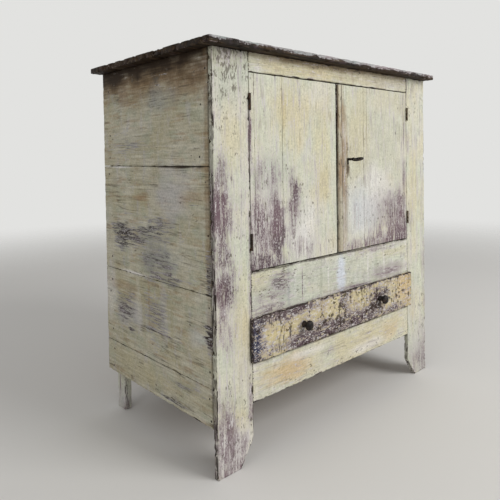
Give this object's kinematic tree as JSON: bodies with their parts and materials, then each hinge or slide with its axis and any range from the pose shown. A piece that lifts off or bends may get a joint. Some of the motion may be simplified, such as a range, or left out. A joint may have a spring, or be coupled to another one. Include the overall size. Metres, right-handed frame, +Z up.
{
  "type": "jelly cupboard",
  "caption": "Low painted plank cupboard with two hinged doors, a key lock, a shelf and a long lipped drawer, standing on its stiles and back posts.",
  "frame": {"origin": "on the floor, under the middle of the bounding box, which includes the overhanging top and the key's bow", "axes": "+Z up, the doors and drawer face -Y, +X to the right of somebody who faces them"},
  "size_m": [1.053, 0.64, 1.1],
  "materials": {
    "cream_paint": "matt, worn milk paint",
    "side_paint": "matt, thin worn paint over brown wood",
    "door_paint": "matt, worn pale paint",
    "drawer_paint": "matt, flaked paint of two colours",
    "top_paint": "matt, dark and worn",
    "bare_wood": "matt, aged",
    "dark_iron": "matt, dark"
  },
  "bodies": {
    "carcass": {"top_plank_front": "top_paint", "top_plank_middle": "top_paint", "top_plank_back": "top_paint", "left_side_board_1": "side_paint", "left_side_board_2": "side_paint", "left_side_board_3": "side_paint", "left_side_board_4": "side_paint", "right_side_board_1": "side_paint", "right_side_board_2": "side_paint", "right_side_board_3": "side_paint", "right_side_board_4": "side_paint", "left_stile": "cream_paint", "right_stile": "cream_paint", "top_rail": "cream_paint", "middle_rail": "cream_paint", "bottom_rail": "cream_paint", "left_back_post": "cream_paint", "right_back_post": "cream_paint", "back_board_1": "bare_wood", "back_board_2": "bare_wood", "back_board_3": "bare_wood", "back_board_4": "bare_wood", "cupboard_floor": "bare_wood", "shelf": "bare_wood", "left_floor_cleat": "bare_wood", "right_floor_cleat": "bare_wood", "left_shelf_cleat": "bare_wood", "right_shelf_cleat": "bare_wood", "left_drawer_runner": "bare_wood", "right_drawer_runner": "bare_wood", "left_lower_hinge_frame_leaf": "dark_iron", "left_upper_hinge_frame_leaf": "dark_iron", "right_lower_hinge_frame_leaf": "dark_iron", "right_upper_hinge_frame_leaf": "dark_iron"},
    "left_door": {"left_door_hinge_strip": "door_paint", "left_door_outer_board": "door_paint", "left_door_meeting_board": "door_paint", "left_door_lower_batten": "bare_wood", "left_door_upper_batten": "bare_wood", "left_lower_hinge_door_leaf": "dark_iron", "left_upper_hinge_door_leaf": "dark_iron", "lock_keeper": "dark_iron"},
    "right_door": {"right_door_hinge_strip": "door_paint", "right_door_outer_board": "door_paint", "right_door_meeting_board": "door_paint", "right_door_lower_batten": "bare_wood", "right_door_upper_batten": "bare_wood", "right_lower_hinge_door_leaf": "dark_iron", "right_upper_hinge_door_leaf": "dark_iron", "astragal": "door_paint", "lock_case": "dark_iron"},
    "key": {"key": "dark_iron"},
    "lock_bolt": {"lock_bolt": "dark_iron"},
    "drawer": {"drawer_front": "drawer_paint", "drawer_left_side": "bare_wood", "drawer_right_side": "bare_wood", "drawer_back": "bare_wood", "drawer_bottom": "bare_wood", "left_drawer_knob": "dark_iron", "right_drawer_knob": "dark_iron"}
  },
  "joints": [
    {"name": "left_door_swing", "type": "hinge", "parent": "carcass", "child": "left_door", "pos_m": [-0.37075, -0.2693, 0.768], "axis": [0, 0, -1], "range_deg": [0, 180]},
    {"name": "right_door_swing", "type": "hinge", "parent": "carcass", "child": "right_door", "pos_m": [0.39075, -0.2693, 0.768], "axis": [0, 0, 1], "range_deg": [0, 180]},
    {"name": "drawer_slide", "type": "slide", "parent": "carcass", "child": "drawer", "axis": [0, -1, 0], "range_m": [0, 0.36]},
    {"name": "key_turn", "type": "hinge", "parent": "right_door", "child": "key", "pos_m": [0.049, -0.2693, 0.79608], "axis": [0, -1, 0], "range_deg": [-90, 180]},
    {"name": "lock_bolt_slide", "type": "slide", "parent": "right_door", "child": "lock_bolt", "axis": [-1, 0, 0], "range_m": [-0.006, 0.012]}
  ],
  "couplings": [
    {"joint": "lock_bolt_slide", "follows": "key_turn", "m_per_rad": 0.0038}
  ]
}
